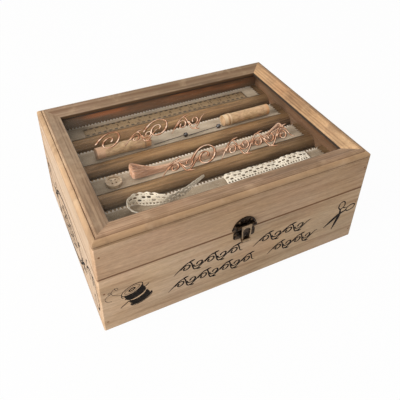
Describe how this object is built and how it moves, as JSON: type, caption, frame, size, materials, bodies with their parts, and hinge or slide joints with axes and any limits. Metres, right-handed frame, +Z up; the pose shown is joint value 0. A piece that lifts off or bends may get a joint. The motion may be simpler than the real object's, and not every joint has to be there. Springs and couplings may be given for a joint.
{
  "type": "sewing box",
  "caption": "Wooden sewing box with a divided base and a hinged, glazed display lid closed by a hasp latch.",
  "frame": {"origin": "centre of the box and its hinges at table level, below the middle of the case", "axes": "+X along the box to the viewer's right, -Y towards the front with the latch, +Z up"},
  "size_m": [0.24, 0.1916, 0.1],
  "materials": {
    "case_wood": "waxed, weathered brown",
    "moulding_wood": "waxed, worn golden brown along the bead",
    "slat_wood": "matt, grey-brown stain",
    "divider_wood": "matt",
    "plywood": "matt, stained",
    "turned_wood": "satin",
    "felt": "grey wool felt, pinked edges",
    "tape_cloth": "waxed cloth, printed marks",
    "floss_cotton": "salmon stranded cotton",
    "lace_cotton": "off-white cotton lace",
    "button_horn": "horn, matt",
    "pin_glass": "dark, glossy",
    "pane": "clear",
    "aged_brass": "antiqued, dark in the hollows",
    "nail_steel": "darkened"
  },
  "bodies": {
    "base": {"base_front_board": "case_wood", "base_back_board": "case_wood", "base_left_board": "case_wood", "base_right_board": "case_wood", "base_bottom_panel": "plywood", "long_divider": "divider_wood", "left_cross_divider": "divider_wood", "right_cross_divider": "divider_wood", "base_corner_nails": "nail_steel", "hinge_base_nails": "aged_brass", "left_hinge_base_leaf": "aged_brass", "right_hinge_base_leaf": "aged_brass", "left_hinge_pin": "aged_brass", "right_hinge_pin": "aged_brass", "latch_catch_plate": "aged_brass", "latch_catch_nails": "aged_brass"},
    "lid": {"back_glass_bead": "moulding_wood", "button": "button_horn", "display_slat_1": "slat_wood", "display_slat_2": "slat_wood", "display_slat_3": "slat_wood", "display_slat_4": "slat_wood", "felt_strip_1": "felt", "felt_strip_2": "felt", "felt_strip_3": "felt", "felt_strip_4": "felt", "floss_skein": "floss_cotton", "frame_back_moulding": "moulding_wood", "frame_front_moulding": "moulding_wood", "frame_left_moulding": "moulding_wood", "frame_right_moulding": "moulding_wood", "front_glass_bead": "moulding_wood", "glass_pane": "pane", "hinge_lid_nails": "aged_brass", "lace_length": "lace_cotton", "lace_loop": "lace_cotton", "latch_lid_nails": "aged_brass", "latch_lid_plate": "aged_brass", "latch_pin": "aged_brass", "left_glass_bead": "moulding_wood", "left_hinge_lid_leaf": "aged_brass", "left_needle_case_body": "turned_wood", "left_needle_case_cap": "turned_wood", "lid_back_board": "case_wood", "lid_bottom_panel": "plywood", "lid_corner_nails": "nail_steel", "lid_front_board": "case_wood", "lid_left_board": "case_wood", "lid_right_board": "case_wood", "pin_heads": "pin_glass", "pin_shafts": "nail_steel", "right_glass_bead": "moulding_wood", "right_hinge_lid_leaf": "aged_brass", "right_needle_case_body": "turned_wood", "right_needle_case_cap": "turned_wood", "tape_measure": "tape_cloth"},
    "hasp": {"latch_hasp": "aged_brass"}
  },
  "joints": [
    {"name": "lid_hinge", "type": "hinge", "parent": "base", "child": "lid", "pos_m": [0, 0.0926, 0.061], "axis": [-1, 0, 0], "range_deg": [0, 105]},
    {"name": "hasp_hinge", "type": "hinge", "parent": "lid", "child": "hasp", "pos_m": [0, -0.0928, 0.067], "axis": [-1, 0, 0], "range_deg": [0, 160]}
  ]
}
